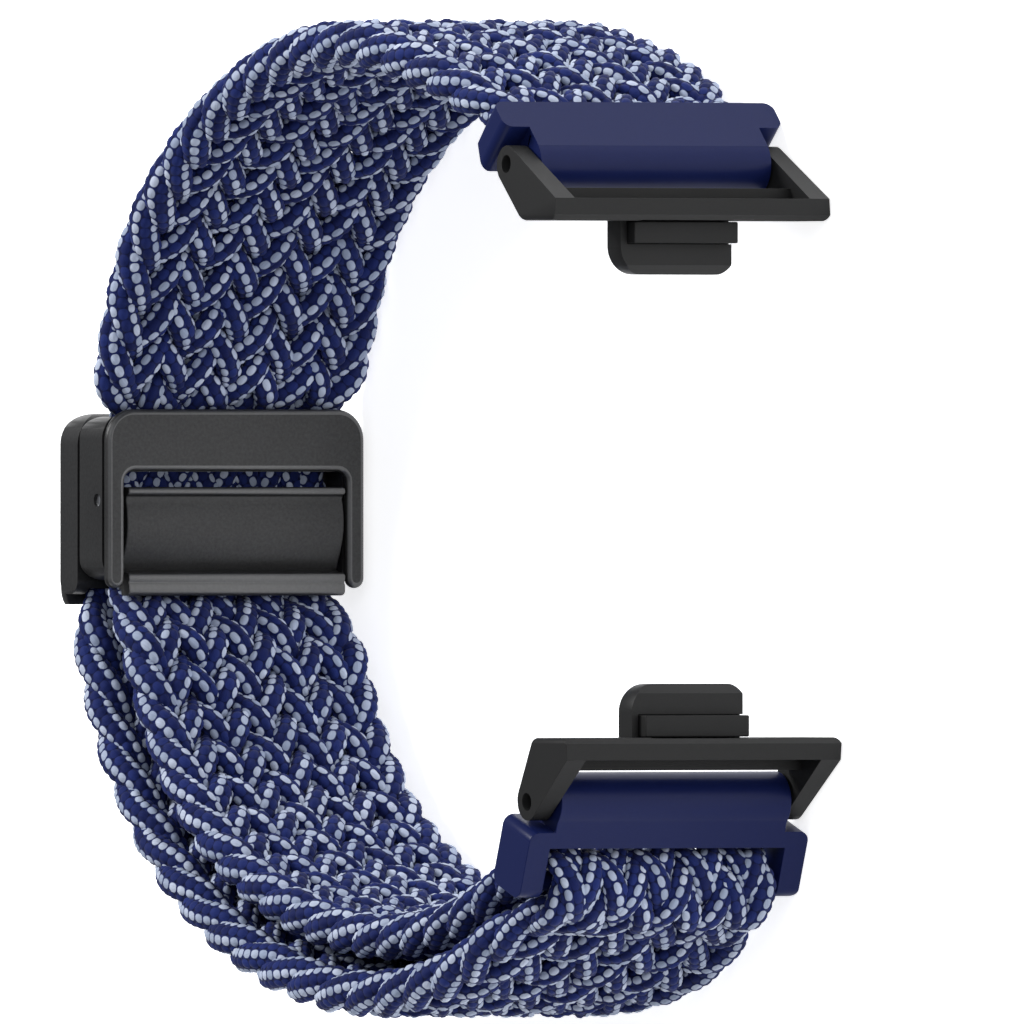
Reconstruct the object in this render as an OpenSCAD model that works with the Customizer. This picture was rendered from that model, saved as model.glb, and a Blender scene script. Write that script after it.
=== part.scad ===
// Braided band for a wrist tracker, closed, lying on one edge.
// X points out through the tracker, Y up the wrist, Z across the band's width.

/* [Band] */
// Width of the widest pieces, the two strap clamps
band_w = 21.6; // [21.6:0.1:22.6]
// Width of the braid from the top clamp to the clasp
upper_strap_w = 21.4; // [19.6:0.1:21.6]
// Width of the braid that runs under the wrist
inner_strap_w = 18.8; // [17.2:0.1:19.2]
// Width of the folded-back tail
tail_strap_w = 21.2; // [19.2:0.1:21.4]
// Thickness of the braid
strap_t = 3.4; // [3.1:0.1:3.5]

/* [Clasp] */
// Width of the clasp
clasp_w = 20.2; // [20.0:0.1:20.6]
// Height of the face plate
clasp_h = 12.2; // [12.0:0.1:12.4]
// Radius of the clasp's front corners
clasp_corner_r = 2.1; // [1.6:0.1:2.4]
// Diameter of each magnet
magnet_d = 4.6; // [4.0:0.1:4.8]

/* [Adapters] */
// Width of an adapter where it meets the tracker
adapter_w = 21.4; // [21.2:0.1:21.6]
// Width of the tongue that plugs into the tracker
tongue_w = 8.6; // [8.0:0.1:9.0]
// Length of the tongue
tongue_l = 3.6; // [3.2:0.1:3.8]
// Diameter of the link pins
link_pin_d = 1.2; // [1.0:0.1:1.3]

/* [Hidden] */
$fn = 48;

// Every outline is drawn about the wrist's centre, and the whole band is then moved to its origin
origin_shift = [3.3, -0.1, 0];
mid_z = band_w / 2;
fit = 0.05;     // running clearance of a pin in its bore
gap = 0.3;      // between soft parts and what moves past them
through = 1;    // how far a cutter passes its work
curve_steps = 6;

// Pins that join the adapters to the clamps
upper_pin = [23.3, 23.7];
lower_pin = [26.0, -19.0];
// Corner of each adapter on the screen side of its tracker face
upper_corner = [30.1, 19.9];
lower_corner = [31.6, -14.7];
// The way each clamp's plate runs from its pin
upper_clamp_turn = 134;
lower_clamp_turn = 250;

// Clamps
barrel_r = 2.0;
barrel_w = 17.8;
clamp_corner_r = 0.7;
plate_out = 1.8;         // outer face, from the pin's axis
plate_in = -2.0;         // wrist face
plate_edge_r = 0.8;
ear_start = 1.55;        // the arms turn before here
slot_w = 18.2;
slot_start = 2.7;
bar_at = [5.6, -0.2];    // the bar that the tail folds round
bar_r = 0.75;
lower_plate_l = 6.4;
upper_plate_l = 3.9;
hood_t = 0.8;
strap_pocket = 2.05;     // how near the pin the pocket for the strap's end starts
strap_pin_at = [3.1, 0.2];
strap_pin_r = 0.5;

// Adapters, in their own frame: [towards the wrist, away from the tracker]
bar_h = 1.5;
bar_edge = 0.4;
bar_lip_h = 2.2;
bar_depth = 4.4;
lip_from = 2.6;
arm_t = 1.6;
arm_tip_r = 1.25;
tip_w = 20.6;
tongue_near = 2.2;
tongue_far = 4.0;
tongue_near_r = 1.9;     // the tongue's free corners, on the near and the far edge
tongue_far_r = 0.8;
catch_inset = 0.5;
catch_near = 1.3;
catch_l = 1.55;
catch_seat = 2.6;

// Clasp, x of each layer
cover_x = [-38.2, -35.8];
base_x = [-35.5, -32.4];
plate_x = [-32.4, -31.6];
cover_y = [-5.9, 7.1];
base_y = [-4.25, 6.9];
plate_top = 7.4;
lip_t = 0.75;
cover_pocket_x = -36.0;
yoke_t = 0.4;
magnet_t = 1.1;
magnet_pitch = 5.6;
keeper_t = 0.4;
base_wall = 0.85;
base_side = 1.35;
front_wall_x = -33.3;     // the base's wall behind the face plate
front_wall_y = 3.15;
clasp_strap_w = 17.2;     // the braid is squeezed to this in the clasp
cover_pocket_w = 18.2;
tail_pin_l = 19.1;
leg_w = 1.4;
window_top = 3.2;
lever_w = 17.0;
lever_x = [-32.95, -31.5];
lever_y = [-4.9, 2.1];
lever_lip = 0.45;
lever_pin_at = [-33.1, 1.2];
lever_pin_r = 0.45;
lever_barrel_r = 0.75;
pad_t = 0.3;
tail_pin_at = [-36.75, -3.3];
tail_pin_r = 0.35;

// The bar that the tail folds round, and how far round it each layer reaches
bar_centre = lower_pin + turned(bar_at, lower_clamp_turn);
bar_clear_r = bar_r + gap;
narrow_r = 5.2;
function round_bar(r, a, t) = concat(bar_centre + polar(r, a), t);

// Outer face of the braid as [x, y, thickness there], a few points on each run
upper_run = [
    [-34.6, 0.8, 0.65], [-34.6, 3.6, 0.7], [-34.55, 7.1, 1.05], [-34.3, 8.7, 2.3],
    [-33.9, 10.6, 3.1], [-32.95, 13.6, strap_t], [-29.85, 20.05, strap_t],
    [-24.05, 25.85, strap_t], [-16.8, 30.1, strap_t], [-8.3, 32.95, strap_t],
    [0.6, 33.7, strap_t], [9.5, 32.15, strap_t], [14.8, 30.5, 3.25], [18.1, 29.1, 3.0],
    [20.8, 27.6, 2.7], [22.2, 26.1, 2.6]
];
// The tail, from the clasp's cover and over the bar into the slot of the lower clamp
tail_run = [
    [-37.35, -4.65, 1.2], [-37.4, -6.1, 1.9], [-37.3, -7.6, 2.9], [-36.6, -10.2, strap_t],
    [-32.9, -17.2, strap_t], [-26.7, -24.1, strap_t], [-18.4, -29.3, strap_t],
    [-8.2, -32.6, strap_t], [3.0, -33.8, strap_t], [13.6, -32.3, strap_t],
    [19.7, -29.8, 3.2], round_bar(4.1, 255, 2.9), round_bar(3.9, 300, 2.7),
    round_bar(3.4, 345, 2.3), round_bar(2.8, 30, 1.75), round_bar(2.75, 84, 1.7)
];
// The layer under it, from the clasp to the slot in the lower clamp
inner_run = [
    [-34.6, 0.7, 0.65], [-34.6, -3.4, 0.65], [-34.5, -5.3, 0.9], [-33.75, -7.0, 2.1],
    [-32.3, -9.9, strap_t], [-29.3, -15.3, strap_t], [-24.0, -21.35, strap_t],
    [-16.8, -25.8, strap_t], [-7.15, -28.85, strap_t], [3.0, -29.9, 3.3],
    [12.65, -28.4, 3.0], [18.8, -25.7, 2.6], round_bar(bar_clear_r, 165, 2.0),
    round_bar(bar_clear_r, 112, 1.6)
];

function unit(v) = v / norm(v);
function left_of(v) = [-v[1], v[0]];
function flat(p) = [p[0], p[1]];
function polar(r, a) = r * [cos(a), sin(a)];
function turned(v, a) = [v[0] * cos(a) - v[1] * sin(a), v[0] * sin(a) + v[1] * cos(a)];

// A smooth curve through a run's points, its thickness carried along
function between(a, b, c, d, t) =
    (2 * b + (c - a) * t + (2 * a - 5 * b + 4 * c - d) * t ^ 2
        + (3 * b - a - 3 * c + d) * t ^ 3) / 2;
function smooth_run(run) = let (last = len(run) - 1) [
    for (i = [0:last - 1], k = [0:curve_steps - 1])
        between(run[max(i - 1, 0)], run[i], run[i + 1], run[min(i + 2, last)], k / curve_steps),
    run[last]
];
function along(path, i) = let (last = len(path) - 1)
    unit(flat(path[min(i + 1, last)]) - flat(path[max(i - 1, 0)]));
// Closed outline of a run: its outer face, and back along its inner face
function band_outline(path, side) = concat(
    [for (p = path) flat(p)],
    [for (i = [len(path) - 1:-1:0]) flat(path[i]) + side * path[i][2] * left_of(along(path, i))]
);
// Where a line from p touches the circle about c
function touch(p, c, r, side) = let (
    d = norm(p - c),
    a = atan2(p[1] - c[1], p[0] - c[0]) + side * acos(r / d)
) c + polar(r, a);

module placed() translate(origin_shift) children();
module across(w) placed() translate([0, 0, mid_z - w / 2]) linear_extrude(w) children();
// A drawing seen along X, with its own x up the band's Y and its own y across the width
module facing(x_from, x_to)
    placed() translate([x_from, 0, mid_z]) rotate([90, 0, 90]) linear_extrude(x_to - x_from)
        children();
module rod(at, r, l) across(l) translate(at) circle(r);
module box_2d(low, high) translate(low) square(high - low);
module rounded_2d(low, high, r) {
    box_2d(low + [r, 0], high - [r, 0]);
    box_2d(low + [0, r], high - [0, r]);
    for (x = [low[0] + r, high[0] - r], y = [low[1] + r, high[1] - r])
        translate([x, y]) circle(r);
}

// ---- Adapters ----
// direction is 1 for the upper adapter and -1 for the lower, which is drawn upside down
module adapter_frame(corner, direction)
    translate(corner) mirror([1, 0]) scale_y(direction) children();
module scale_y(direction) mirror([0, direction < 0 ? 1 : 0]) children();

module arm_outline(pin) {
    polygon([
        [bar_edge, 0], [0, bar_edge], [0, bar_h], touch([0, bar_h], pin, arm_tip_r, -1), pin,
        touch([bar_depth, 0], pin, arm_tip_r, 1), [bar_depth, 0]
    ]);
    translate(pin) circle(arm_tip_r);
}

// The outer faces of the arms lean in towards their tips
module arm_lean(corner, direction) {
    lean = atan2((adapter_w - tip_w) / 2, norm(upper_pin - upper_corner));
    for (end = [-1, 1])
        placed() translate([corner[0], corner[1], mid_z + end * adapter_w / 2])
            rotate([-end * direction * lean, 0, 0])
                translate([-20, direction > 0 ? -5 : -15, end > 0 ? 0 : -5])
                    cube([30, 20, 5]);
}

module adapter(corner, pin, direction) {
    local_pin = [corner[0] - pin[0], direction * (pin[1] - corner[1])];
    difference() {
        union() {
            difference() {
                across(adapter_w) adapter_frame(corner, direction) arm_outline(local_pin);
                across(adapter_w - 2 * arm_t) adapter_frame(corner, direction)
                    box_2d([-through, bar_h], [20, 20]);
                across(adapter_w - 2 * arm_t) adapter_frame(corner, direction)
                    box_2d([bar_depth, -through], [20, 20]);
            }
            across(adapter_w - 2 * arm_t + 2 * fit) adapter_frame(corner, direction)
                box_2d([lip_from, bar_h - fit], [bar_depth, bar_lip_h]);
            intersection() {
                across(tongue_w) adapter_frame(corner, direction) tongue_outline();
                tongue_plan(corner, direction);
            }
        }
        arm_lean(corner, direction);
        rod(pin, link_pin_d / 2, band_w);
        catch_span(tongue_w - catch_inset + through, through) adapter_frame(corner, direction)
            box_2d([catch_near - through, -catch_l], [catch_seat, fit]);
    }
}

module tongue_outline() difference() {
    box_2d([tongue_near, -tongue_l], [tongue_far, fit]);
    translate([tongue_near, -tongue_l]) rotate(45) square(0.9, center = true);
}

// The tongue seen along X, with round free corners
module tongue_plan(corner, direction)
    facing(corner[0] - tongue_far - through, corner[0]) translate([corner[1], 0]) scale_x(direction) {
        box_2d([-tongue_l, tongue_far_r - tongue_w / 2], [1, tongue_w / 2 - tongue_near_r]);
        box_2d([tongue_near_r - tongue_l, -tongue_w / 2], [1, tongue_w / 2]);
        box_2d([tongue_far_r - tongue_l, -tongue_w / 2], [1, 0]);
        translate([tongue_near_r - tongue_l, tongue_w / 2 - tongue_near_r]) circle(tongue_near_r);
        translate([tongue_far_r - tongue_l, tongue_far_r - tongue_w / 2]) circle(tongue_far_r);
    }
module scale_x(direction) mirror([direction < 0 ? 1 : 0, 0]) children();

// The catch block stops short of the tongue's near end and is flush with its far end
module catch_span(w, past) translate([0, 0, -past - tongue_w / 2 + w / 2]) across(w) children();
module catch_block(corner, direction)
    catch_span(tongue_w - catch_inset - fit, 0) adapter_frame(corner, direction)
        box_2d([catch_near, -catch_l + fit], [catch_seat - fit, -fit]);

module upper_adapter() color("#2f2f30") adapter(upper_corner, upper_pin, 1);
module lower_adapter() color("#2f2f30") adapter(lower_corner, lower_pin, -1);
module upper_catch() color("#353536") catch_block(upper_corner, 1);
module lower_catch() color("#353536") catch_block(lower_corner, -1);
module upper_link_pin() color("#8d9096") rod(upper_pin, link_pin_d / 2, tip_w - 1.2);
module lower_link_pin() color("#8d9096") rod(lower_pin, link_pin_d / 2, tip_w - 1.2);

// ---- Clamps, drawn from the pin: [along the plate, towards the outside] ----
module clamp_frame(pin, turn, side)
    translate(pin) rotate(turn) mirror([0, side < 0 ? 1 : 0]) children();

// Seen from outside, the plate's ears are round at their corners and start past the adapter's arms
module clamp_plan(pin, turn, plate_l) intersection() {
    children();
    placed() translate([pin[0], pin[1], mid_z]) rotate([0, 0, turn]) rotate([90, 0, 0])
        translate([0, 0, -10]) linear_extrude(20) {
            rounded_2d([ear_start, -band_w / 2], [plate_l, band_w / 2], clamp_corner_r);
            box_2d([-10, -barrel_w / 2], [ear_start + 1, barrel_w / 2]);
        }
}

module lower_clamp() color("#1c2456") difference() {
    union() {
        clamp_plan(lower_pin, lower_clamp_turn, lower_plate_l) difference() {
            across(band_w) clamp_frame(lower_pin, lower_clamp_turn, 1)
                rounded_2d([-plate_edge_r, plate_in], [lower_plate_l, plate_out], plate_edge_r);
            across(slot_w) clamp_frame(lower_pin, lower_clamp_turn, 1)
                box_2d([slot_start, -5], [lower_plate_l + through, 5]);
        }
        across(barrel_w) clamp_frame(lower_pin, lower_clamp_turn, 1) circle(barrel_r);
        across(slot_w + 2 * fit) clamp_frame(lower_pin, lower_clamp_turn, 1)
            translate(bar_at) circle(bar_r);
    }
    rod(lower_pin, link_pin_d / 2 + fit, band_w + through);
}

module upper_clamp() color("#1c2456") difference() {
    union() {
        clamp_plan(upper_pin, upper_clamp_turn, upper_plate_l) difference() {
            across(band_w) clamp_frame(upper_pin, upper_clamp_turn, -1) upper_clamp_side();
            across(slot_w) clamp_frame(upper_pin, upper_clamp_turn, -1) {
                box_2d([strap_pocket, barrel_r - hood_t - 3], [10, barrel_r - hood_t]);
                box_2d([strap_pocket + 1, -5], [10, barrel_r - hood_t]);
            }
        }
        across(barrel_w) clamp_frame(upper_pin, upper_clamp_turn, -1) circle(barrel_r);
    }
    rod(upper_pin, link_pin_d / 2 + fit, band_w + through);
    rod(upper_pin + turned([strap_pin_at[0], -strap_pin_at[1]], upper_clamp_turn),
        strap_pin_r, slot_w + 1.6);
}

// Seen from the side, the wrist face of the end walls slants up to the hood's edge
module upper_clamp_side() polygon([
    [-0.2, barrel_r], [upper_plate_l, barrel_r], [upper_plate_l, barrel_r - hood_t],
    [upper_plate_l - 0.4, 0.6], [3.3, -1.4], [1.6, -2.3], [0.4, -barrel_r], [-0.2, -1.6]
]);

module upper_strap_pin() color("#8d9096")
    rod(upper_pin + turned([strap_pin_at[0], -strap_pin_at[1]], upper_clamp_turn),
        strap_pin_r, slot_w + 1.5);

// ---- Braid ----
// A stretch of braid, narrower in the places that its children cover
module strap(run, side, w, narrow_w) {
    outline = band_outline(smooth_run(run), side);
    across(w) difference() {
        polygon(outline);
        children();
    }
    across(narrow_w) intersection() {
        polygon(outline);
        children();
    }
}
module in_clasp() box_2d([-40, base_y[0] - 1.4], [-30, plate_top + gap]);
module in_cover() box_2d([-40, cover_y[0] - gap], [-30, 0]);
module at_bar() translate(bar_centre) circle(narrow_r);

module upper_strap() color("#3d4a86") difference() {
    union() {
        difference() {
            strap(upper_run, -1, upper_strap_w, clasp_strap_w) in_clasp();
            across(band_w) translate(upper_pin) rotate(upper_clamp_turn) box_2d([-2, -10], [4.7, 10]);
        }
        across(slot_w - 2 * fit) clamp_frame(upper_pin, upper_clamp_turn, -1)
            box_2d([strap_pocket + fit, -1.5], [4.8, barrel_r - hood_t - fit]);
    }
    rod(upper_pin + turned([strap_pin_at[0], -strap_pin_at[1]], upper_clamp_turn),
        strap_pin_r, band_w);
}

module lower_strap_inner() color("#3d4a86")
    strap(inner_run, 1, inner_strap_w, clasp_strap_w) {
        in_clasp();
        at_bar();
    }

module tail_strap() color("#3d4a86") difference() {
    strap(tail_run, 1, tail_strap_w, slot_w - 2 * gap) {
        in_cover();
        at_bar();
    }
    rod(bar_centre, bar_clear_r, band_w);
}

// ---- Clasp ----
module clasp_front(low_y, high_y, r)
    rounded_2d([low_y, -clasp_w / 2], [high_y, clasp_w / 2], r);

module clasp_base() color("#2b2b2c") difference() {
    intersection() {
        across(clasp_w) rounded_2d([base_x[0], base_y[0]], [base_x[1], base_y[1]], 0.9);
        facing(base_x[0] - through, base_x[1] + through)
            clasp_front(base_y[0], base_y[1], clasp_corner_r - 0.6);
    }
    // the way through for the braid, and the lever's window over it
    across(clasp_w - 2 * base_side) {
        box_2d([base_x[0] + base_wall, -20], [front_wall_x, 20]);
        box_2d([base_x[0] + base_wall, -20], [base_x[1] + through, front_wall_y]);
    }
    // seat of the steel keeper
    facing(base_x[0] - through, base_x[0] + keeper_t) keeper_outline(0);
    rod(lever_pin_at, lever_pin_r, clasp_w + through);
}

module keeper_outline(less)
    rounded_2d([base_y[0] + 1.6 + less, -8 + less], [base_y[1] - 1.6 - less, 8 - less], 1);
module base_keeper() color("#9a9da3")
    facing(base_x[0], base_x[0] + keeper_t - fit) keeper_outline(fit);

module clasp_face_plate() color("#333335") facing(plate_x[0] + fit, plate_x[1]) difference() {
    union() {
        clasp_front(plate_top - clasp_h / 2, plate_top, clasp_corner_r);
        box_2d([plate_top - clasp_h + leg_w / 2, -clasp_w / 2], [plate_top - clasp_corner_r, clasp_w / 2]);
        for (end = [-1, 1])
            translate([plate_top - clasp_h + leg_w / 2, end * (clasp_w - leg_w) / 2]) circle(leg_w / 2);
    }
    box_2d([-20, leg_w - clasp_w / 2], [window_top, clasp_w / 2 - leg_w]);
}

module clasp_lever() color("#303032") difference() {
    union() {
        across(lever_w) {
            box_2d([lever_x[0], lever_y[0]], [lever_x[1] - lever_lip, lever_y[1]]);
            // the ridges above and below the hollow of the grip
            box_2d([lever_x[0], lever_y[1] - 0.6], [lever_x[1], lever_y[1]]);
            box_2d([lever_x[0] + 0.3, lever_y[0] - 0.4], [lever_x[1], lever_y[0] + 0.8]);
        }
        rod(lever_pin_at, lever_barrel_r, lever_w);
    }
    rod(lever_pin_at, lever_pin_r + fit, clasp_w);
    across(lever_w - 2) box_2d([lever_x[0] - through, -2.6], [lever_x[0] + pad_t, -0.4]);
}

module lever_pad() color("#1b1b1b")
    across(lever_w - 2 - 2 * fit)
        box_2d([lever_x[0] - 0.15, -2.6 + fit], [lever_x[0] + pad_t, -0.4 - fit]);

module lever_pin() color("#8d9096") rod(lever_pin_at, lever_pin_r, clasp_w - 0.4);

module clasp_cover() color("#2b2b2c") difference() {
    intersection() {
        across(clasp_w) cover_side();
        facing(cover_x[0] - through, cover_x[1] + through)
            clasp_front(cover_y[0] - 1, cover_y[1], clasp_corner_r);
    }
    facing(cover_x[1] - magnet_t - yoke_t, cover_x[1] + through) yoke_outline(0);
    // room for the tail's end and its sleeve
    across(cover_pocket_w) box_2d([cover_x[0] + lip_t, -20], [cover_pocket_x, -1.7]);
    rod(tail_pin_at, tail_pin_r, tail_pin_l + 2 * fit);
}

module cover_side() {
    rounded_2d([cover_x[0], -5.2], [cover_x[1], cover_y[1]], 1.0);
    box_2d([cover_x[0] + 0.1, cover_y[0]], [cover_x[0] + lip_t, 0]);
}

module yoke_outline(less) rounded_2d([-1.1 + less, -8.2 + less], [4.6 - less, 8.2 - less], 1.2);
module cover_yoke() color("#9a9da3")
    facing(cover_x[1] - magnet_t - yoke_t + fit, cover_x[1] - magnet_t) yoke_outline(fit);
module magnet_discs(r) for (k = [-1:1]) translate([1.75, k * magnet_pitch]) circle(r);
module cover_magnets() color("#b4b6bb")
    facing(cover_x[1] - magnet_t + fit, cover_x[1] - 2 * fit) magnet_discs(magnet_d / 2);
module magnet_carrier() color("#232324")
    facing(cover_x[1] - magnet_t + fit, cover_x[1] - fit) difference() {
        yoke_outline(fit);
        magnet_discs(magnet_d / 2 + fit);
    }

module tail_anchor_pin() color("#8d9096") rod(tail_pin_at, tail_pin_r, tail_pin_l);
module tail_end_sleeve() color("#1b1b1b") difference() {
    across(cover_pocket_w - 4 * fit) box_2d([cover_x[0] + lip_t + fit, -4.6], [cover_pocket_x - fit, -1.8]);
    rod(tail_pin_at, tail_pin_r, band_w);
}

upper_adapter();
upper_catch();
upper_link_pin();
upper_clamp();
upper_strap_pin();
upper_strap();
clasp_base();
base_keeper();
clasp_face_plate();
clasp_lever();
lever_pin();
lever_pad();
lower_strap_inner();
clasp_cover();
cover_magnets();
cover_yoke();
magnet_carrier();
tail_anchor_pin();
tail_end_sleeve();
tail_strap();
lower_clamp();
lower_link_pin();
lower_catch();
lower_adapter();
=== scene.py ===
"""A braided wrist tracker band, closed and lying on one edge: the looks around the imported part."""

import math

import bmesh
import bpy
import numpy as np
from mathutils import Matrix, Vector

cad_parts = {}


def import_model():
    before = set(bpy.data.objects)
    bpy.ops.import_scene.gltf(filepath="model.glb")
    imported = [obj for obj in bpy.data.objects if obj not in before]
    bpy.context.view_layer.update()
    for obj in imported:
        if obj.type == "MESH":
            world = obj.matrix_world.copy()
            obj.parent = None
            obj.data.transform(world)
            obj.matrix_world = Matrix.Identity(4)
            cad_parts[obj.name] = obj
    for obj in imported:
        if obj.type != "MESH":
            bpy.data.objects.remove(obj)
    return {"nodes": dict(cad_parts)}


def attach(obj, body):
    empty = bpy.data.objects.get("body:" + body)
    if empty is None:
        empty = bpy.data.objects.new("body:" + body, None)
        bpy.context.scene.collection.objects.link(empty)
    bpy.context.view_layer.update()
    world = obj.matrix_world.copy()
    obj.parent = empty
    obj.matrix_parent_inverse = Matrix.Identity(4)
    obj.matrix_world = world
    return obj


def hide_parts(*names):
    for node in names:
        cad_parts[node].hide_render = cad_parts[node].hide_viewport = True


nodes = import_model()["nodes"]
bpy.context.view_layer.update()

MM = 0.001
SHIFT = np.array([3.3, -0.1])   # from the wrist's centre to the part's origin, mm
MID_Z = 10.8                    # the middle of the band's width, mm
AWAY = 3.0                      # from the camera to the band, m
LENS_PER_METRE = 521.5          # lens for each metre of that distance, mm
FILM = 36.0                     # width of the camera's film, mm
rng = np.random.default_rng(7)


# ---------------------------------------------------------------- the camera and the room
def place_camera():
    aim = Vector((9.2, 0.3, 10.8)) * MM
    back = Vector((0.866, 0.0, 0.5)).normalized()
    up = Vector((0, 1, 0))
    right = up.cross(back)
    turn = Matrix((right, up, back)).transposed().to_4x4()
    data = bpy.data.cameras.new("camera")
    data.lens, data.sensor_width = LENS_PER_METRE * AWAY, FILM
    data.clip_start, data.clip_end = 0.01, 60
    camera = bpy.data.objects.new("camera", data)
    camera.matrix_world = Matrix.Translation(aim + back * AWAY) @ turn
    bpy.context.scene.collection.objects.link(camera)
    bpy.context.scene.camera = camera


def area_light(name, place, aim, size, power, colour=(1, 1, 1)):
    data = bpy.data.lights.new(name, "AREA")
    data.shape, data.size, data.energy, data.color = "DISK", size, power, colour
    lamp = bpy.data.objects.new(name, data)
    lamp.location = place
    lamp.rotation_mode = "QUATERNION"
    lamp.rotation_quaternion = (Vector(place) - Vector(aim)).to_track_quat("Z", "Y")
    bpy.context.scene.collection.objects.link(lamp)


def light_the_room():
    world = bpy.data.worlds.new("studio")
    bpy.context.scene.world = world
    world.use_nodes = True
    sky = world.node_tree.nodes["Background"]
    sky.inputs["Color"].default_value = (0.93, 0.95, 1.0, 1)
    sky.inputs["Strength"].default_value = 0.3
    middle = (0.0, 0.0, 0.01)
    area_light("key", (-0.16, 0.26, 0.42), middle, 0.20, 2.5)
    area_light("fill", (0.40, 0.18, 0.30), middle, 0.30, 0.5, (0.95, 0.97, 1.0))
    area_light("low", (0.1, -0.40, 0.18), middle, 0.25, 0.2)
    bpy.context.scene.view_settings.view_transform = "Standard"
    bpy.context.scene.view_settings.look = "None"


def lay_floor():
    bm = bmesh.new()
    bmesh.ops.create_grid(bm, x_segments=1, y_segments=1, size=4.0)
    mesh = bpy.data.meshes.new("floor")
    bm.to_mesh(mesh)
    bm.free()
    floor = bpy.data.objects.new("floor", mesh)
    bpy.context.scene.collection.objects.link(floor)
    mesh.materials.append(pale_floor())


# ---------------------------------------------------------------- materials
COLUMNS = 8              # plaited columns of yarn round a cord, light and dark in turn
POINTS = 3               # mesh points across a column, and rings along a stitch
STITCH_POWER = 2.4       # 2 makes a stitch oval, more makes it squarer
GRAIN_SCALE = 6000.0
PATCH_SCALE = 160.0


class Nodes:
    """A short way to write a node tree."""

    def __init__(self, tree):
        self.tree = tree

    def add(self, kind, inputs=None, **settings):
        made = self.tree.nodes.new(kind)
        for key, value in settings.items():
            setattr(made, key, value)
        for key, value in (inputs or {}).items():
            self.set(made.inputs[key], value)
        return made

    def set(self, socket, value):
        if isinstance(value, bpy.types.NodeSocket):
            self.tree.links.new(value, socket)
        else:
            socket.default_value = value

    def math(self, operation, *values):
        made = self.tree.nodes.new("ShaderNodeMath")
        made.operation = operation
        for socket, value in zip(made.inputs, values):
            self.set(socket, value)
        return made.outputs[0]

    def mix(self, share, low, high):
        made = self.tree.nodes.new("ShaderNodeMix")
        made.data_type = "RGBA"
        for index, value in ((0, share), (6, low), (7, high)):
            self.set(made.inputs[index], value)
        return made.outputs[2]

    def ramp(self, value, low, high):
        """0 at low, 1 at high, smooth between."""
        limits = {"Value": value, "From Min": low, "From Max": high}
        made = self.add("ShaderNodeMapRange", limits, interpolation_type="SMOOTHSTEP")
        return made.outputs["Result"]


def new_group(name, inputs, outputs):
    group = bpy.data.node_groups.new(name, "ShaderNodeTree")
    for label, kind, value in inputs:
        socket = group.interface.new_socket(name=label, in_out="INPUT", socket_type=kind)
        if value is not None:
            socket.default_value = value
    for label, kind in outputs:
        group.interface.new_socket(name=label, in_out="OUTPUT", socket_type=kind)
    n = Nodes(group)
    return group, n, n.add("NodeGroupInput"), n.add("NodeGroupOutput")


def new_material(name, **constants):
    material = bpy.data.materials.new(name)
    material.use_nodes = True
    n = Nodes(material.node_tree)
    shader = material.node_tree.nodes["Principled BSDF"]
    for key, value in constants.items():
        shader.inputs[key.replace("_", " ")].default_value = value
    return material, n, shader


FLOAT, COLOUR, VECTOR = "NodeSocketFloat", "NodeSocketColor", "NodeSocketVector"


def grain_group():
    """Fine blasted or moulded grain with a little wear: a height, and light and dark patches."""
    group, n, given, out = new_group(
        "fine_grain",
        [("Vector", VECTOR, None), ("Scale", FLOAT, GRAIN_SCALE),
         ("Patch Scale", FLOAT, PATCH_SCALE)],
        [("Height", FLOAT), ("Patches", FLOAT)],
    )
    place = given.outputs["Vector"]
    fine = n.add("ShaderNodeTexNoise", {
        "Vector": place, "Scale": given.outputs["Scale"], "Detail": 3.0, "Roughness": 0.6})
    broad = n.add("ShaderNodeTexNoise", {
        "Vector": place, "Scale": given.outputs["Patch Scale"], "Detail": 2.0})
    n.set(out.inputs["Height"], fine.outputs["Fac"])
    n.set(out.inputs["Patches"], broad.outputs["Fac"])
    return group


def yarn_group():
    """The yarn of a cord. The map's U runs once round it, and its V counts stitches along it."""
    group, n, given, out = new_group(
        "plaited_yarn",
        [("Vector", VECTOR, None)],
        [("Light Yarn", FLOAT), ("Height", FLOAT), ("Stitch", FLOAT), ("Fibre", FLOAT)],
    )
    split = n.add("ShaderNodeSeparateXYZ", {"Vector": given.outputs["Vector"]})
    column = n.math("MULTIPLY", split.outputs["X"], COLUMNS)
    index = n.math("FLOOR", column)
    across = n.math("FRACT", column)
    odd = n.math("MODULO", index, 2.0)
    along = n.math("ADD", split.outputs["Y"], n.math("DIVIDE", odd, POINTS))
    stitch = n.math("FRACT", along)

    def off_middle(share):
        """0 in the middle of a column or stitch, 1 at its edge."""
        swing = n.math("ABSOLUTE", n.math("MULTIPLY_ADD", share, 2.0, -1.0))
        return n.math("POWER", swing, STITCH_POWER)

    height = n.math("SUBTRACT", 1.0, n.math("ADD", off_middle(across), off_middle(stitch)))
    number = n.add("ShaderNodeCombineXYZ", {"X": index, "Y": n.math("FLOOR", along)})
    shade = n.add("ShaderNodeTexWhiteNoise", {"Vector": number.outputs[0]}, noise_dimensions="2D")
    strand = n.add("ShaderNodeCombineXYZ", {
        "X": n.math("MULTIPLY", n.math("ADD", across, n.math("MULTIPLY", stitch, 0.4)), 9.0),
        "Y": n.math("MULTIPLY", along, 1.1), "Z": index})
    fibre = n.add("ShaderNodeTexNoise", {"Vector": strand.outputs[0], "Scale": 1.0, "Detail": 2.0})
    n.set(out.inputs["Light Yarn"], n.math("SUBTRACT", 1.0, odd))
    n.set(out.inputs["Height"], height)
    n.set(out.inputs["Stitch"], shade.outputs["Value"])
    n.set(out.inputs["Fibre"], fibre.outputs["Fac"])
    return group


GRAIN = grain_group()
YARN = yarn_group()


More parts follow.
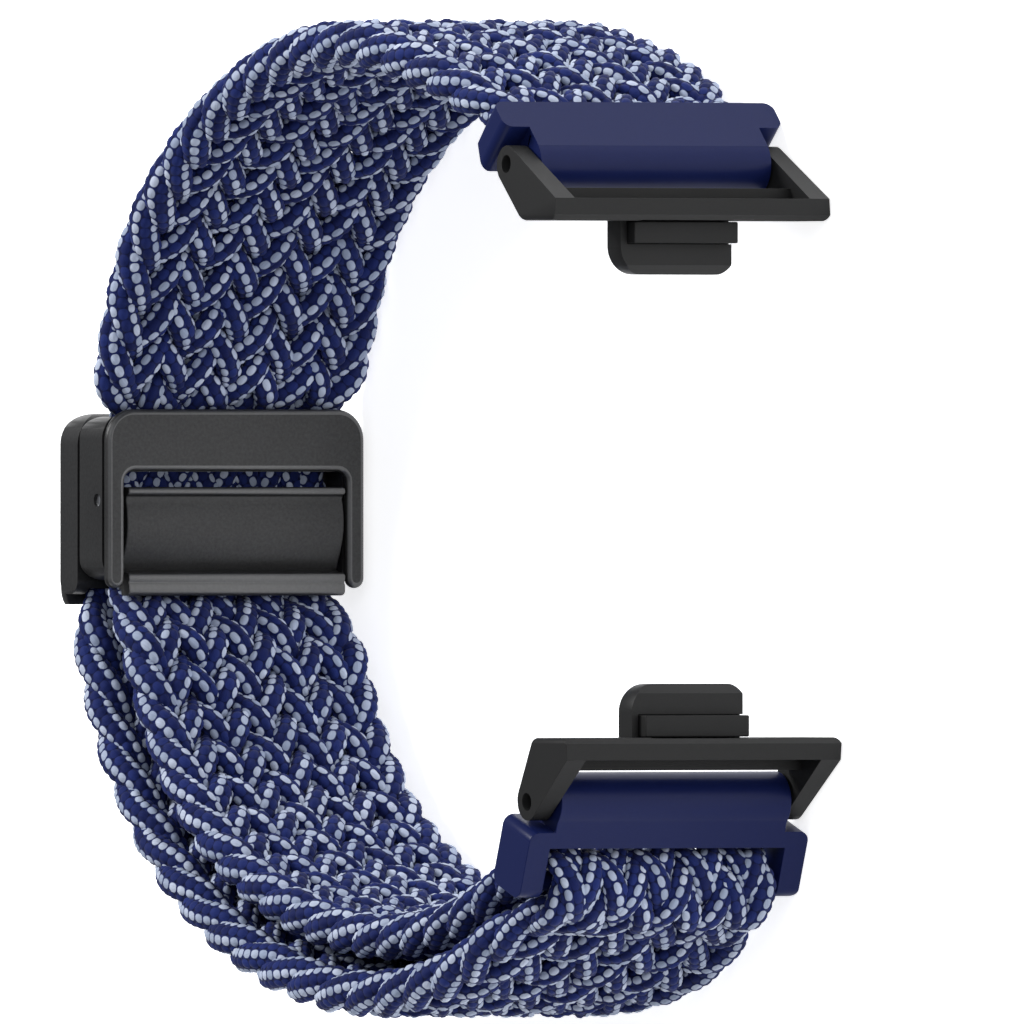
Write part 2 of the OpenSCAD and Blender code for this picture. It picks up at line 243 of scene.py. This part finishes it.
def use_group(n, group, **values):
    made = n.add("ShaderNodeGroup", node_tree=group)
    for key, value in values.items():
        n.set(made.inputs[key.replace("_", " ")], value)
    return made.outputs


def braid_yarn():
    """Each stitch has its own tone, its fibres vary it, and the gaps between stitches get painted
    shade.
    """
    material, n, shader = new_material(
        "braid_yarn", Sheen_Weight=0.06, Sheen_Roughness=0.5, Specular_IOR_Level=0.12)
    place = n.add("ShaderNodeUVMap", uv_map="cord_map")
    yarn = use_group(n, YARN, Vector=place.outputs["UV"])
    solid = n.add("ShaderNodeTexCoord").outputs["Object"]
    drift = n.add("ShaderNodeTexNoise", {
        "Vector": solid, "Scale": 350.0, "Detail": 2.0}).outputs["Fac"]
    light = n.mix(yarn["Stitch"], (0.28, 0.33, 0.45, 1), (0.47, 0.52, 0.64, 1))
    dark = n.mix(yarn["Stitch"], (0.006, 0.011, 0.07, 1), (0.013, 0.024, 0.13, 1))
    colour = n.mix(yarn["Light Yarn"], dark, light)
    fibre = n.math("MULTIPLY_ADD", n.math("ADD", yarn["Fibre"], drift), 0.45, 0.58)
    tone = n.add("ShaderNodeCombineColor", {"Red": fibre, "Green": fibre, "Blue": fibre})
    toned = n.add("ShaderNodeMix", {0: 1.0, 6: colour, 7: tone.outputs[0]},
                  data_type="RGBA", blend_type="MULTIPLY").outputs[2]
    # Low in the grooves between stitches the colour goes to near-black navy: painted shade.
    bare = n.math("MULTIPLY_ADD", yarn["Light Yarn"], 0.42, -0.22)
    full = n.math("MULTIPLY_ADD", yarn["Light Yarn"], 0.1, 0.36)
    between = n.mix(yarn["Light Yarn"], (0.003, 0.0055, 0.036, 1), (0.0075, 0.014, 0.085, 1))
    colour = n.mix(n.ramp(yarn["Height"], bare, full), between, toned)
    n.set(shader.inputs["Base Color"], colour)
    n.set(shader.inputs["Roughness"], n.math("MULTIPLY_ADD", drift, 0.2, 0.68))
    relief = n.math("ADD", yarn["Height"], n.math("MULTIPLY", yarn["Fibre"], 0.22))
    bump = n.add("ShaderNodeBump", {"Height": relief, "Strength": 0.6, "Distance": 0.0001})
    n.set(shader.inputs["Normal"], bump.outputs[0])
    return material


def grained(name, low, high, roughness, grain, depth, **constants):
    """A plain finish with a fine grain and slow patches of tone."""
    material, n, shader = new_material(name, **constants)
    solid = n.add("ShaderNodeTexCoord").outputs["Object"]
    g = use_group(n, GRAIN, Vector=solid, Scale=grain, Patch_Scale=PATCH_SCALE)
    tone = n.math("MULTIPLY_ADD", g["Height"], 0.6, n.math("MULTIPLY", g["Patches"], 0.4))
    n.set(shader.inputs["Base Color"], n.mix(tone, low, high))
    rough = n.math("MULTIPLY_ADD", g["Patches"], 0.16, roughness - 0.08)
    n.set(shader.inputs["Roughness"], rough)
    relief = {"Height": g["Height"], "Strength": 0.5, "Distance": depth * MM}
    bump = n.add("ShaderNodeBump", relief)
    n.set(shader.inputs["Normal"], bump.outputs[0])
    return material


def pale_floor():
    material, n, shader = new_material(
        "pale_floor", Roughness=0.9, Specular_IOR_Level=0.1,
        Emission_Color=(1, 1, 1, 1), Emission_Strength=0.76)
    solid = n.add("ShaderNodeTexCoord").outputs["Object"]
    speck = n.add("ShaderNodeTexNoise", {"Vector": solid, "Scale": 30.0}).outputs["Fac"]
    colour = n.mix(speck, (0.91, 0.91, 0.915, 1), (0.93, 0.93, 0.93, 1))
    n.set(shader.inputs["Base Color"], colour)
    return material


YARN_FINISH = braid_yarn()
# Low and high colour, roughness, grain's scale and grain's depth in mm
CLASP_BLACK = grained(
    "clasp_blasted_black", (0.004, 0.004, 0.0045, 1), (0.054, 0.054, 0.054, 1),
    0.42, 4600.0, 0.02, Metallic=0.55, Specular_IOR_Level=0.5)
# The rim finish is lighter than the clasp's black, which is painted highlight on the rounded rims
# and ridge tops; it is also a little glossier.
CLASP_RIM_HIGHLIGHT = grained(
    "clasp_rim_painted_highlight", (0.07, 0.07, 0.07, 1), (0.12, 0.12, 0.12, 1),
    0.36, 4600.0, 0.006, Metallic=0.7, Specular_IOR_Level=0.5)
ADAPTER_BLACK = grained(
    "adapter_moulded_black", (0.013, 0.013, 0.013, 1), (0.019, 0.019, 0.019, 1),
    0.5, 5000.0, 0.004, Specular_IOR_Level=0.16)
CATCH_BLACK = grained(
    "catch_moulded_black", (0.012, 0.012, 0.012, 1), (0.018, 0.018, 0.018, 1),
    0.55, 5000.0, 0.004, Specular_IOR_Level=0.16)
CLAMP_NAVY = grained(
    "clamp_satin_navy", (0.006, 0.0105, 0.06, 1), (0.008, 0.014, 0.075, 1),
    0.34, 4000.0, 0.002, Specular_IOR_Level=0.12)
PIN_STEEL = grained(
    "pin_steel", (0.30, 0.31, 0.33, 1), (0.45, 0.46, 0.48, 1), 0.35, 7000.0, 0.003, Metallic=1.0)
MAGNET_NICKEL = grained(
    "magnet_nickel", (0.50, 0.50, 0.48, 1), (0.62, 0.61, 0.58, 1),
    0.25, 4000.0, 0.002, Metallic=1.0)
YOKE_STEEL = grained(
    "yoke_steel", (0.28, 0.28, 0.30, 1), (0.40, 0.40, 0.42, 1), 0.42, 3500.0, 0.004, Metallic=1.0)
SLEEVE_RUBBER = grained(
    "sleeve_rubber", (0.010, 0.010, 0.011, 1), (0.02, 0.02, 0.021, 1), 0.8, 3000.0, 0.008)


# ---------------------------------------------------------------- the braid
BAR = np.array([23.897, -24.194])   # the lower clamp's bar, mm about the wrist's centre


def round_bar(radius, angle, thickness, width):
    """A run's point beside the lower clamp's bar."""
    a = math.radians(angle)
    return [BAR[0] + radius * math.cos(a), BAR[1] + radius * math.sin(a), thickness, width]


# Outer face of each run: x, y, thickness and width there, mm about the wrist's centre
UPPER_RUN = [
    [-34.6, 0.8, 0.65, 17.2], [-34.6, 3.6, 0.7, 17.2], [-34.55, 7.1, 1.05, 17.4],
    [-34.3, 8.7, 2.3, 20.0],
    [-33.9, 10.6, 3.1, 21.3], [-32.95, 13.6, 3.4, 21.4], [-29.85, 20.05, 3.4, 21.4],
    [-24.05, 25.85, 3.4, 21.4], [-16.8, 30.1, 3.4, 21.4], [-8.3, 32.95, 3.4, 21.4],
    [0.6, 33.7, 3.4, 21.4],
    [9.5, 32.15, 3.4, 21.4], [14.8, 30.5, 3.25, 21.2], [18.1, 29.1, 3.0, 20.2],
    [20.8, 27.6, 2.7, 18.2],
    [22.2, 26.1, 2.6, 18.0],
]
TAIL_RUN = [
    [-37.35, -4.65, 1.2, 17.6], [-37.4, -6.1, 1.9, 18.6], [-37.3, -7.6, 2.9, 20.6],
    [-36.6, -10.2, 3.4, 21.2],
    [-32.9, -17.2, 3.4, 21.2], [-26.7, -24.1, 3.4, 21.2], [-18.4, -29.3, 3.4, 21.2],
    [-8.2, -32.6, 3.4, 21.2],
    [3.0, -33.8, 3.4, 21.2], [13.6, -32.3, 3.4, 21.2], [19.7, -29.8, 3.2, 20.8],
    round_bar(4.1, 255, 2.9, 18.6), round_bar(3.9, 300, 2.7, 17.6), round_bar(3.4, 345, 2.3, 17.6),
    round_bar(2.8, 30, 1.75, 17.6), round_bar(2.75, 72, 1.7, 17.6),
]
INNER_RUN = [
    [-34.6, 0.7, 0.65, 17.2], [-34.6, -3.4, 0.65, 17.2], [-34.5, -5.3, 0.9, 17.3],
    [-33.75, -7.0, 2.1, 18.4],
    [-32.3, -9.9, 3.4, 18.8], [-29.3, -15.3, 3.4, 18.8], [-24.0, -21.35, 3.4, 18.8],
    [-16.8, -25.8, 3.4, 18.8],
    [-7.15, -28.85, 3.4, 18.8], [3.0, -29.9, 3.3, 18.8], [12.65, -28.4, 3.0, 18.8],
    [18.8, -25.7, 2.6, 18.2],
    round_bar(1.05, 165, 2.0, 17.4), round_bar(1.05, 124, 1.6, 17.4),
]

CORDS = 19
CORD_R = 0.93            # a cord's radius in the flat of the braid, mm
CORD_R_EDGE = 1.08       # and where it goes over an edge
FULL_T = 3.4             # the braid's thickness where nothing presses it, mm
TURN_SHARPNESS = 0.985   # nearer to 1 turns a cord back more sharply at the edge
EDGE_REACH = 0.22        # how far from its turn a cord counts as at the edge
WANDER = 0.05            # how far a cord strays from its course, mm
WANDER_POINTS = 12
FINE_STEP = 0.06         # between the points of a run, mm
SOFT_POINTS = 27         # of them in the window that smooths a run
STITCH = 0.69            # length of one stitch of the cord's own plait, mm
CORD_TURN = 95           # length in which that plait turns once round the cord, mm
COLUMN_GROOVE = 0.11     # depth between its columns, mm
STITCH_GROOVE = 0.1      # and between its stitches
SIDES = COLUMNS * POINTS
CORDS_IN_PIECE = 3


def smooth_run(run, steps=12):
    """A Catmull-Rom curve through a run's points."""
    p = np.array([run[0]] + run + [run[-1]], float)
    out = []
    for i in range(1, len(p) - 2):
        a, b, c, d = p[i - 1], p[i], p[i + 1], p[i + 2]
        for k in range(steps):
            t = k / steps
            out.append((2 * b + (c - a) * t + (2 * a - 5 * b + 4 * c - d) * t ** 2
                        + (3 * b - a - 3 * c + d) * t ** 3) / 2)
    out.append(p[-2])
    return np.array(out)


def middle_sheet(run, side):
    """The middle of the braid: place, the way to the wrist, thickness and width along it."""
    path = smooth_run(run)
    way = np.gradient(path[:, :2], axis=0)
    way /= np.linalg.norm(way, axis=1)[:, None]
    to_wrist = side * np.stack([-way[:, 1], way[:, 0]], 1)
    middle = path[:, :2] + to_wrist * path[:, 2:3] / 2
    length = np.concatenate([[0], np.cumsum(np.linalg.norm(np.diff(middle, axis=0), axis=1))])
    fine = np.arange(0, length[-1], FINE_STEP)
    columns = np.concatenate([middle, to_wrist, path[:, 2:4]], 1)
    out = np.stack([np.interp(fine, length, columns[:, k]) for k in range(6)], 1)
    soft = np.hanning(SOFT_POINTS) / np.hanning(SOFT_POINTS).sum()
    for k in range(6):
        padded = np.pad(out[:, k], SOFT_POINTS // 2, mode="edge")
        out[:, k] = np.convolve(padded, soft, mode="valid")
    out[:, 2:4] /= np.linalg.norm(out[:, 2:4], axis=1)[:, None]
    return fine, out


def cord_line(fine, sheet, k, pitch, over, start):
    """One cord's centre line, two over and two under, and how it is pressed there."""
    turn = 2 * math.pi * (fine / (pitch * CORDS) + (k + start) / CORDS)
    sweep = np.arcsin(TURN_SHARPNESS * np.sin(turn - math.pi / 2)) / math.asin(TURN_SHARPNESS)
    heading = np.cos(turn - math.pi / 2)
    slip = rng.normal(0, WANDER, WANDER_POINTS)
    wander = np.interp(fine, np.linspace(0, fine[-1], WANDER_POINTS), slip)
    side = np.tanh(heading / 0.13)
    near_edge = np.exp(-(heading / EDGE_REACH) ** 2)
    column = (sweep + 1) / 2 * CORDS
    radius = CORD_R + (CORD_R_EDGE - CORD_R) * near_edge
    press = sheet[:, 4] / FULL_T
    rise = over * side * np.cos(math.pi / 2 * (column - 0.5)) * (1 - 0.12 * near_edge)
    depth = (FULL_T / 2 - CORD_R) * rise * press
    across = sweep * (sheet[:, 5] / 2 - CORD_R_EDGE) + wander * (1 - near_edge)
    point = np.zeros((len(fine), 3))
    lift = (depth + wander * 0.5 * press)[:, None]
    point[:, :2] = sheet[:, :2] + sheet[:, 2:4] * lift + SHIFT
    point[:, 2] = MID_Z - across
    face = np.concatenate([sheet[:, 2:4], np.zeros((len(fine), 1))], 1)
    return point, face, radius, press


def ring_frames(centre, face):
    """Two directions across the cord at each ring, carried along without twist."""
    way = np.gradient(centre, axis=0)
    way /= np.linalg.norm(way, axis=1)[:, None]
    first = np.zeros_like(centre)
    current = face[0]
    for i, w in enumerate(way):
        current = current - w * np.dot(current, w)
        current /= np.linalg.norm(current)
        first[i] = current
    return first, np.cross(way, first)


def cord_rings(point, face, radius, press, twist):
    """A cord's surface as rings of points, with the stitches of its plait standing up."""
    length = np.concatenate([[0], np.cumsum(np.linalg.norm(np.diff(point, axis=0), axis=1))])
    at = np.arange(0, length[-1], STITCH / POINTS)

    def pick(values):
        return np.stack([np.interp(at, length, values[:, k]) for k in range(values.shape[1])], 1)

    centre, face = pick(point), pick(face)
    radius, press = np.interp(at, length, radius), np.interp(at, length, press)
    first, second = ring_frames(centre, face)
    i, j = np.arange(len(at))[:, None], np.arange(SIDES)[None, :]
    angle = 2 * math.pi * j / SIDES + twist + at[:, None] * 2 * math.pi / CORD_TURN
    place, odd = j % POINTS, (j // POINTS) % 2
    between = ((i + odd) % POINTS == 0) * (place > 0)
    groove = (place == 0) * COLUMN_GROOVE + between * STITCH_GROOVE
    reach = radius[:, None] * (1.0 + 0.03 * np.sin(at[:, None] * 0.9 + twist * 5)) - groove
    cosine, sine = np.cos(angle)[..., None], np.sin(angle)[..., None]
    offset = reach[..., None] * (cosine * first[:, None] + sine * second[:, None])
    outward = (offset * face[:, None]).sum(-1, keepdims=True)
    offset -= face[:, None] * outward * (1 - press[:, None, None])
    return (centre[:, None] + offset) * MM


def cord_mesh(name, cords):
    """Joins the cords' rings into one mesh, with a map that runs round and along each cord."""
    verts, faces, maps, base = [], [], [], 0
    for rings in cords:
        count = len(rings)
        verts.append(rings.reshape(-1, 3))
        i, j = np.meshgrid(np.arange(count - 1), np.arange(SIDES), indexing="ij")
        k = (j + 1) % SIDES
        here, ahead = i * SIDES, (i + 1) * SIDES
        quad = np.stack([here + j, here + k, ahead + k, ahead + j], -1)
        faces.append(quad.reshape(-1, 4) + base)
        u = np.stack([j, j + 1, j + 1, j], -1) / SIDES
        v = np.stack([i, i, i + 1, i + 1], -1) / POINTS
        maps.append(np.stack([u, v], -1).reshape(-1, 2))
        base += count * SIDES
    quads, corners = np.concatenate(faces), np.concatenate(maps)
    mesh = bpy.data.meshes.new(name)
    mesh.from_pydata(np.concatenate(verts).tolist(), [], quads.tolist())
    layer = mesh.uv_layers.new(name="cord_map")
    layer.data.foreach_set("uv", corners.astype(np.float32).ravel())
    bm = bmesh.new()
    bm.from_mesh(mesh)
    open_ends = [e for e in bm.edges if e.is_boundary]
    bmesh.ops.holes_fill(bm, edges=open_ends, sides=SIDES)
    for f in bm.faces:
        f.smooth = True
    bm.to_mesh(mesh)
    bm.free()
    return mesh


def plait(stem, run, side, pitch, over, start, body, node):
    """A stretch of the braid: all its cords, a few to a piece, in place of one solid."""
    fine, sheet = middle_sheet(run, side)
    cords = []
    for k in range(CORDS):
        twist = rng.uniform(0, 2 * math.pi)
        cords.append(cord_rings(*cord_line(fine, sheet, k, pitch, over, start), twist))
    for first in range(0, CORDS, CORDS_IN_PIECE):
        name = f"{stem}_cords_{first // CORDS_IN_PIECE + 1}"
        piece = bpy.data.objects.new(name, cord_mesh(name, cords[first:first + CORDS_IN_PIECE]))
        bpy.context.scene.collection.objects.link(piece)
        piece.data.materials.append(YARN_FINISH)
        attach(piece, body)
        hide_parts(node)


# ---------------------------------------------------------------- hard pieces
CORNER = math.radians(30)   # edges that turn more are rounded
SHARP = math.radians(38)    # edges that turn more stay crisp in the shading
JOIN = 2e-6                 # points nearer than this are one, m


def merged_copy(node):
    """The node's own shape as one joined mesh with whole flat faces."""
    bm = bmesh.new()
    bm.from_mesh(nodes[node].data)
    bmesh.ops.remove_doubles(bm, verts=bm.verts, dist=JOIN)
    bmesh.ops.dissolve_degenerate(bm, edges=bm.edges, dist=JOIN)
    bmesh.ops.dissolve_limit(bm, angle_limit=math.radians(3), verts=bm.verts, edges=bm.edges)
    return bm


def corner_edges(bm):
    return [e for e in bm.edges if len(e.link_faces) == 2 and e.calc_face_angle(0) > CORNER]


def round_edges(bm, edges, radius, segments):
    bmesh.ops.bevel(
        bm, geom=edges, offset=radius * MM, offset_type="OFFSET", segments=segments,
        profile=0.5, affect="EDGES", clamp_overlap=True, material=-1)


def paint_rim_highlight(bm, is_rim):
    """Gives the chosen rim faces the second material, a lighter one: painted highlight."""
    bm.normal_update()
    for f in bm.faces:
        f.material_index = int(is_rim(f))


def finish_piece(bm, name, material, body, slot, *stands_for, rim=None):
    for f in bm.faces:
        f.smooth = True
    for e in bm.edges:
        e.smooth = len(e.link_faces) == 2 and e.calc_face_angle(0) < SHARP
    mesh = bpy.data.meshes.new(name)
    bm.to_mesh(mesh)
    bm.free()
    piece = bpy.data.objects.new(name, mesh)
    bpy.context.scene.collection.objects.link(piece)
    mesh.materials.append(material)
    if rim:
        mesh.materials.append(rim)
    normals = piece.modifiers.new("even_shading", "WEIGHTED_NORMAL")
    normals.keep_sharp = True
    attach(piece, body)
    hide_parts(*stands_for)


def moulded(node, name, material, body, slot, radius, segments=2):
    """The node's own shape with its edges rounded."""
    bm = merged_copy(node)
    round_edges(bm, corner_edges(bm), radius, segments)
    finish_piece(bm, name, material, body, slot, node)


def flat(place, z=0.0):
    """A place on the band's side view, as a point in the part's frame."""
    return Vector((place[0] + SHIFT[0], place[1] + SHIFT[1], MID_Z + z)) * MM


def lever_grip():
    """The lever's side outline drawn across its width."""
    hinge = [(-33.1 + 0.75 * math.cos(math.radians(a)), 1.2 + 0.75 * math.sin(math.radians(a)))
             for a in range(258, 100, -26)]
    # A ridge at the top, the bulge for the thumb, a double lip at the bottom, then the hinge
    outline = [
        (-32.95, 2.1), (-31.78, 2.1), (-31.6, 2.04), (-31.5, 1.9), (-31.5, 1.74),
        (-31.6, 1.6), (-31.88, 1.45), (-31.95, 1.25), (-31.86, 0.9), (-31.77, 0.4),
        (-31.72, -0.2), (-31.73, -0.8), (-31.84, -1.4), (-32.02, -2.0), (-32.28, -2.6),
        (-32.56, -3.15), (-32.7, -3.5), (-32.4, -3.68), (-31.85, -3.72), (-31.62, -3.8),
        (-31.5, -3.95), (-31.5, -4.2), (-31.6, -4.34), (-31.6, -4.44), (-31.5, -4.58),
        (-31.5, -5.02), (-31.62, -5.22), (-31.85, -5.3), (-32.65, -5.3), (-32.65, -4.9),
        (-32.95, -4.9),
    ] + hinge
    half = 8.5
    bm = bmesh.new()
    face = bm.faces.new([bm.verts.new(flat(p, -half)) for p in outline])
    grown = bmesh.ops.extrude_face_region(bm, geom=[face])["geom"]
    moved = [v for v in grown if isinstance(v, bmesh.types.BMVert)]
    bmesh.ops.translate(bm, verts=moved, vec=(0, 0, 2 * half * MM))
    bmesh.ops.recalc_face_normals(bm, faces=bm.faces)
    ends = [e for e in bm.edges if abs(e.verts[0].co.z - e.verts[1].co.z) < 1e-6]
    round_edges(bm, ends, 0.12, 2)
    ridge = flat((-31.67, 0)).x
    # The ridge tops get the lighter rim finish: painted highlight.
    paint_rim_highlight(bm, lambda f: f.calc_center_median().x > ridge and abs(f.normal.z) < 0.5)
    finish_piece(
        bm, "lever_grip", CLASP_BLACK, "lever", "clasp_metal", "clasp_lever", rim=CLASP_RIM_HIGHLIGHT)


def face_plate():
    """The clasp's plate: its window gets round corners before its rims are rounded."""
    bm = merged_copy("clasp_face_plate")
    window_top, window_half, near = flat((0, 3.2)).y, 8.7 * MM, 1e-5

    def at_corner(v):
        from_middle = abs(v.co.z - MID_Z * MM)
        return abs(v.co.y - window_top) < near and abs(from_middle - window_half) < near

    corners = [e for e in bm.edges if abs(e.verts[0].co.x - e.verts[1].co.x) > 0.3 * MM
               and all(at_corner(v) for v in e.verts)]
    round_edges(bm, corners, 0.75, 5)
    round_edges(bm, corner_edges(bm), 0.36, 5)
    # The rounded rims of the plate get the lighter rim finish: painted highlight.
    paint_rim_highlight(bm, lambda f: 0.5 < f.normal.x < 0.99)
    finish_piece(
        bm, "face_plate", CLASP_BLACK, "clasp", "clasp_metal", "clasp_face_plate", rim=CLASP_RIM_HIGHLIGHT)


def adapter_body(node, name, body):
    """An adapter: the outward edge of each arm is broadly rounded, every other edge a little."""
    bm = merged_copy(node)
    arms, arm_from, shortest = [], 9.6 * MM, 3 * MM
    for end in (-1, 1):
        long = [e for e in corner_edges(bm) if e.calc_length() > shortest
                and all(end * (v.co.z - MID_Z * MM) > arm_from for v in e.verts)]
        arms.append(max(long, key=lambda e: e.verts[0].co.x + e.verts[1].co.x))
    round_edges(bm, arms, 1.0, 6)
    round_edges(bm, corner_edges(bm), 0.1, 2)
    finish_piece(bm, name, ADAPTER_BLACK, body, "adapter_plastic", node)


def dress(node, material):
    """A CAD node whose shape is right keeps it, in its real finish."""
    data = nodes[node].data
    data.materials.clear()
    data.materials.append(material)


# ---------------------------------------------------------------- making the band
place_camera()
light_the_room()
lay_floor()

plait("upper_braid", UPPER_RUN, -1, 3.2, -1, 0.35, "clasp", "upper_strap")
plait("inner_braid", INNER_RUN, 1, 3.2, 1, 0.1, "clasp", "lower_strap_inner")
plait("tail_braid", TAIL_RUN, 1, 3.9, 1, 0.6, "tail", "tail_strap")

face_plate()
moulded("clasp_base", "base_shell", CLASP_BLACK, "clasp", "clasp_metal", 0.2)
moulded("clasp_cover", "cover_shell", CLASP_BLACK, "tail", "clasp_metal", 0.2)
lever_grip()
moulded("upper_clamp", "upper_clamp_body", CLAMP_NAVY, "clasp", "clamp_metal", 0.5, 4)
moulded("lower_clamp", "lower_clamp_body", CLAMP_NAVY, "clasp", "clamp_metal", 0.5, 4)
adapter_body("upper_adapter", "upper_adapter_body", "upper_link")
adapter_body("lower_adapter", "lower_adapter_body", "lower_link")
moulded("upper_catch", "upper_catch_block", CATCH_BLACK, "upper_link", "catch_plastic", 0.1)
moulded("lower_catch", "lower_catch_block", CATCH_BLACK, "lower_link", "catch_plastic", 0.1)

for names, finish in (
    (("upper_link_pin", "lower_link_pin", "upper_strap_pin", "lever_pin", "tail_anchor_pin"),
     PIN_STEEL),
    (("cover_magnets",), MAGNET_NICKEL),
    (("cover_yoke", "base_keeper"), YOKE_STEEL),
    (("tail_end_sleeve", "lever_pad", "magnet_carrier"), SLEEVE_RUBBER),
):
    for node in names:
        dress(node, finish)
